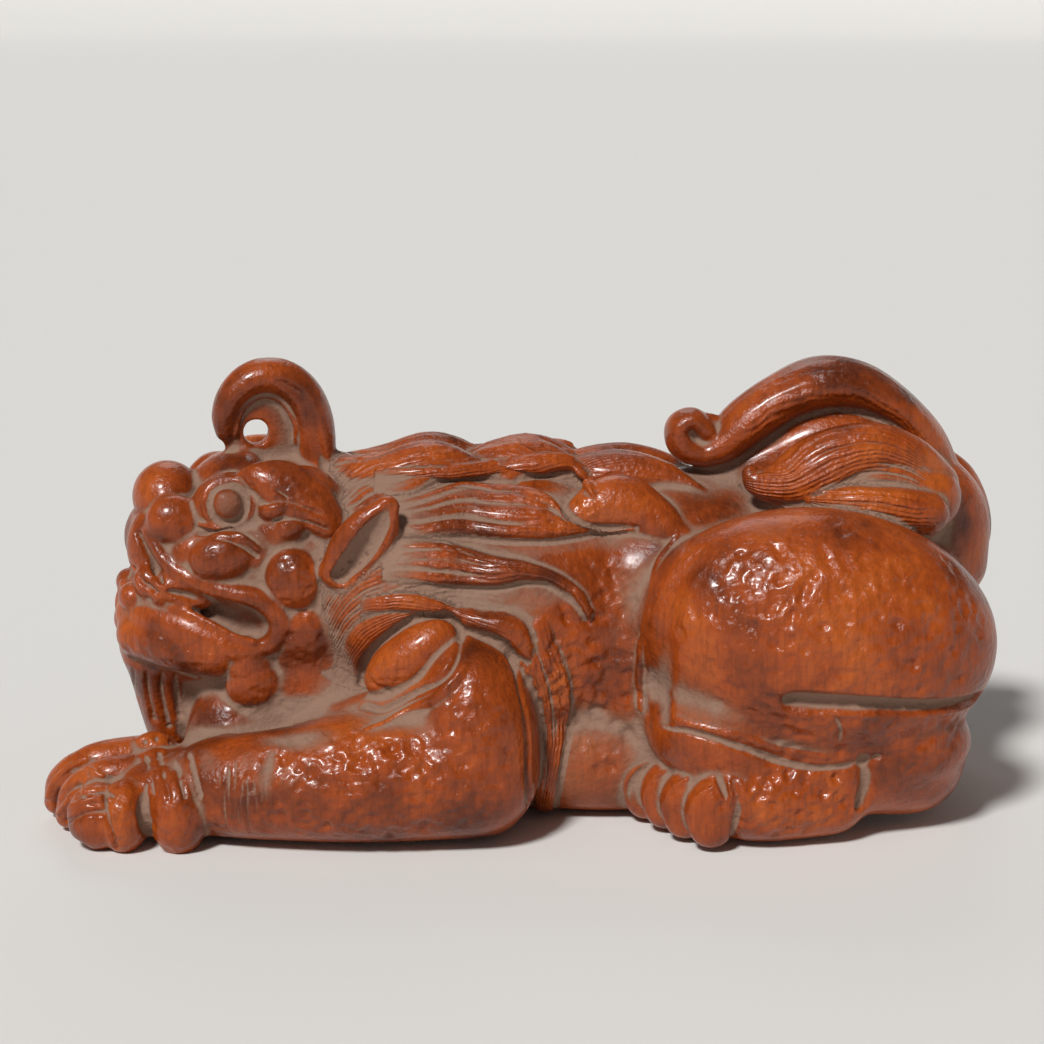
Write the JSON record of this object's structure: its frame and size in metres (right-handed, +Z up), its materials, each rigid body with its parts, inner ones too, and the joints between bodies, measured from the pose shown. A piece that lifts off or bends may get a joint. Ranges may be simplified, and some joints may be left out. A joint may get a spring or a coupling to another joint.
{
  "type": "animal figurine",
  "caption": "Reclining one-horned guardian beast carved in the round from boxwood, with a curled horn, streaming mane and flame-like tail locks.",
  "frame": {"origin": "middle of the carving's bounding box, on the table it lies on", "axes": "+X from head to tail, +Y towards the animal's right side, +Z up"},
  "size_m": [0.085, 0.0418, 0.0385],
  "materials": {
    "boxwood": "hand-polished and waxed on the high places, matte with dust in the carved hollows"
  },
  "bodies": {
    "root": {"ear_left": "boxwood", "ear_right": "boxwood", "foreleg_left": "boxwood", "foreleg_right": "boxwood", "forepaw_left": "boxwood", "forepaw_right": "boxwood", "haunch_left": "boxwood", "haunch_right": "boxwood", "head": "boxwood", "hindpaw_left": "boxwood", "hindpaw_right": "boxwood", "horn": "boxwood", "jaw": "boxwood", "mane": "boxwood", "tail_crest": "boxwood", "tail_lock_left_lower": "boxwood", "tail_lock_left_upper": "boxwood", "tail_lock_rear": "boxwood", "tail_lock_right_upper": "boxwood", "tail_root": "boxwood", "trunk": "boxwood"}
  },
  "joints": []
}
